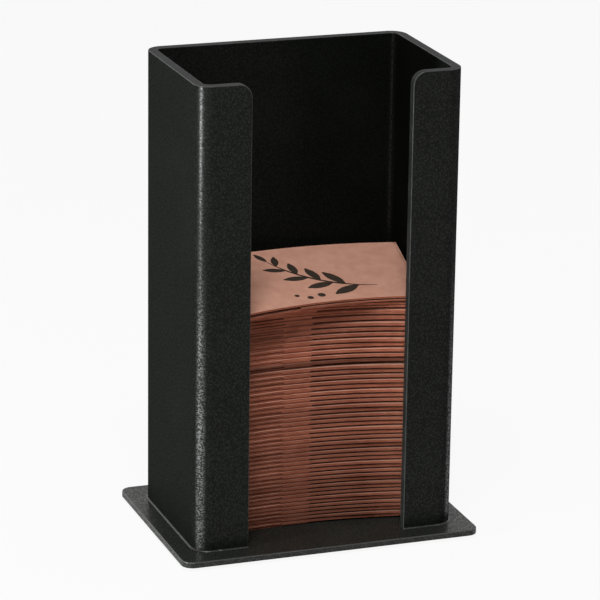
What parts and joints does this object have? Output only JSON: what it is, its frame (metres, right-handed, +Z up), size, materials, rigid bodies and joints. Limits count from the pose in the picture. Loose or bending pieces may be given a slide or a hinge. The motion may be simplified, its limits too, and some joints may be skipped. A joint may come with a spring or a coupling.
{
  "type": "cup sleeve dispenser",
  "caption": "Open-topped counter bin of bent black plastic sheet on a flat base plate, slotted at the front and loaded with folded cup sleeves that lift out one by one.",
  "frame": {"origin": "on the counter, under the middle of the base plate", "axes": "+Z up, -Y the front with the finger slot, +X to the right seen from the front"},
  "size_m": [0.1598, 0.114, 0.247],
  "materials": {
    "black_sheet": "haircell grain, black",
    "cement": "set solvent cement",
    "foot_rubber": "matt black",
    "kraft_board": "brown corrugated board"
  },
  "bodies": {
    "bin": {"base_plate": "black_sheet", "bin_wall": "black_sheet", "cement_bead": "cement", "foot_front_left": "foot_rubber", "foot_front_right": "foot_rubber", "foot_rear_left": "foot_rubber", "foot_rear_right": "foot_rubber"},
    "stack": {"sleeve_01": "kraft_board", "sleeve_02": "kraft_board", "sleeve_03": "kraft_board", "sleeve_04": "kraft_board", "sleeve_05": "kraft_board", "sleeve_06": "kraft_board", "sleeve_07": "kraft_board", "sleeve_08": "kraft_board", "sleeve_09": "kraft_board", "sleeve_10": "kraft_board", "sleeve_11": "kraft_board", "sleeve_12": "kraft_board", "sleeve_13": "kraft_board", "sleeve_14": "kraft_board", "sleeve_15": "kraft_board", "sleeve_16": "kraft_board", "sleeve_17": "kraft_board", "sleeve_18": "kraft_board", "sleeve_19": "kraft_board", "sleeve_20": "kraft_board", "sleeve_21": "kraft_board", "sleeve_22": "kraft_board", "sleeve_23": "kraft_board", "sleeve_24": "kraft_board", "sleeve_25": "kraft_board", "sleeve_26": "kraft_board", "sleeve_27": "kraft_board", "sleeve_28": "kraft_board", "sleeve_29": "kraft_board", "sleeve_30": "kraft_board", "sleeve_31": "kraft_board", "sleeve_32": "kraft_board", "sleeve_33": "kraft_board", "sleeve_34": "kraft_board", "sleeve_35": "kraft_board", "sleeve_36": "kraft_board", "sleeve_37": "kraft_board", "sleeve_38": "kraft_board", "sleeve_39": "kraft_board", "sleeve_40": "kraft_board", "sleeve_41": "kraft_board", "sleeve_42": "kraft_board", "sleeve_43": "kraft_board", "sleeve_44": "kraft_board"},
    "fourth_sleeve": {"sleeve_45": "kraft_board"},
    "third_sleeve": {"sleeve_46": "kraft_board"},
    "second_sleeve": {"sleeve_47": "kraft_board"},
    "top_sleeve": {"sleeve_48": "kraft_board"}
  },
  "joints": [
    {"name": "stack_lift", "type": "slide", "parent": "bin", "child": "stack", "axis": [0, 0, 1], "range_m": [0, 0.25]},
    {"name": "fourth_sleeve_lift", "type": "slide", "parent": "stack", "child": "fourth_sleeve", "axis": [0, 0, 1], "range_m": [0, 0.14]},
    {"name": "third_sleeve_lift", "type": "slide", "parent": "fourth_sleeve", "child": "third_sleeve", "axis": [0, 0, 1], "range_m": [0, 0.14]},
    {"name": "second_sleeve_lift", "type": "slide", "parent": "third_sleeve", "child": "second_sleeve", "axis": [0, 0, 1], "range_m": [0, 0.14]},
    {"name": "top_sleeve_lift", "type": "slide", "parent": "second_sleeve", "child": "top_sleeve", "axis": [0, 0, 1], "range_m": [0, 0.14]}
  ]
}
